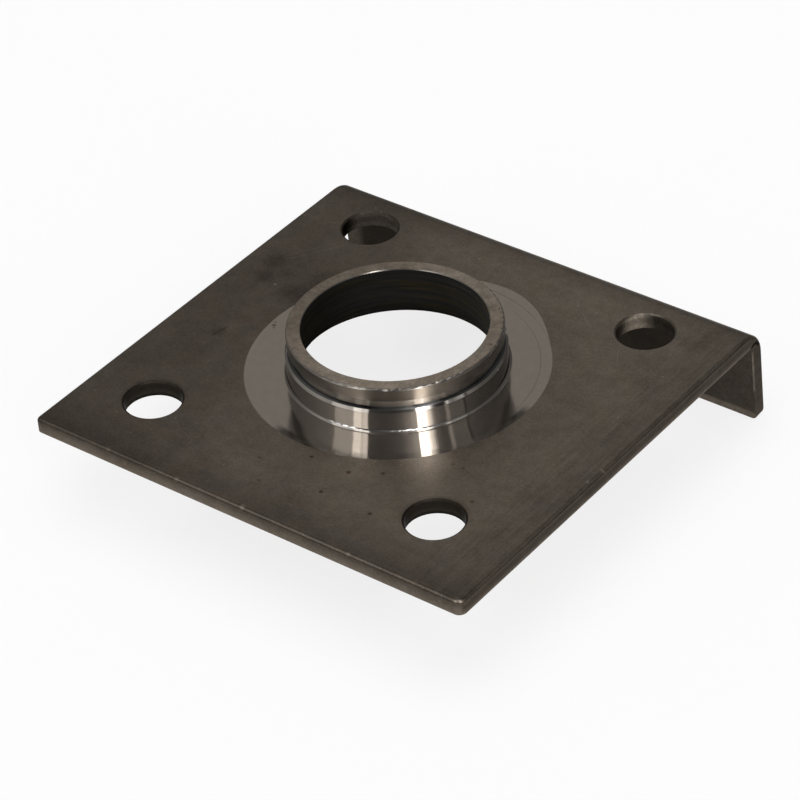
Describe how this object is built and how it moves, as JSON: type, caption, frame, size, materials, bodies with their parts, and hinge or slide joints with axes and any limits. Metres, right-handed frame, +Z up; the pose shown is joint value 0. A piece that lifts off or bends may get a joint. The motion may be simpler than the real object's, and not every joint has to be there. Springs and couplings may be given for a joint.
{
  "type": "weld-on mounting plate",
  "caption": "Square steel plate with bolt holes, one edge bent down into a flange, and a short turned neck with a retaining-ring groove round its central bore.",
  "frame": {"origin": "on the neck's axis, in the plane of the faced ring round its foot, where the pilot begins", "axes": "+Z up the neck's axis, +Y towards the bent flange, +X along the bend"},
  "size_m": [0.15, 0.1487, 0.0466],
  "materials": {
    "steel": "bare mill-finish sheet, turned and faced bright on and round the neck"
  },
  "bodies": {
    "root": {"mounting_plate": "steel"}
  },
  "joints": []
}
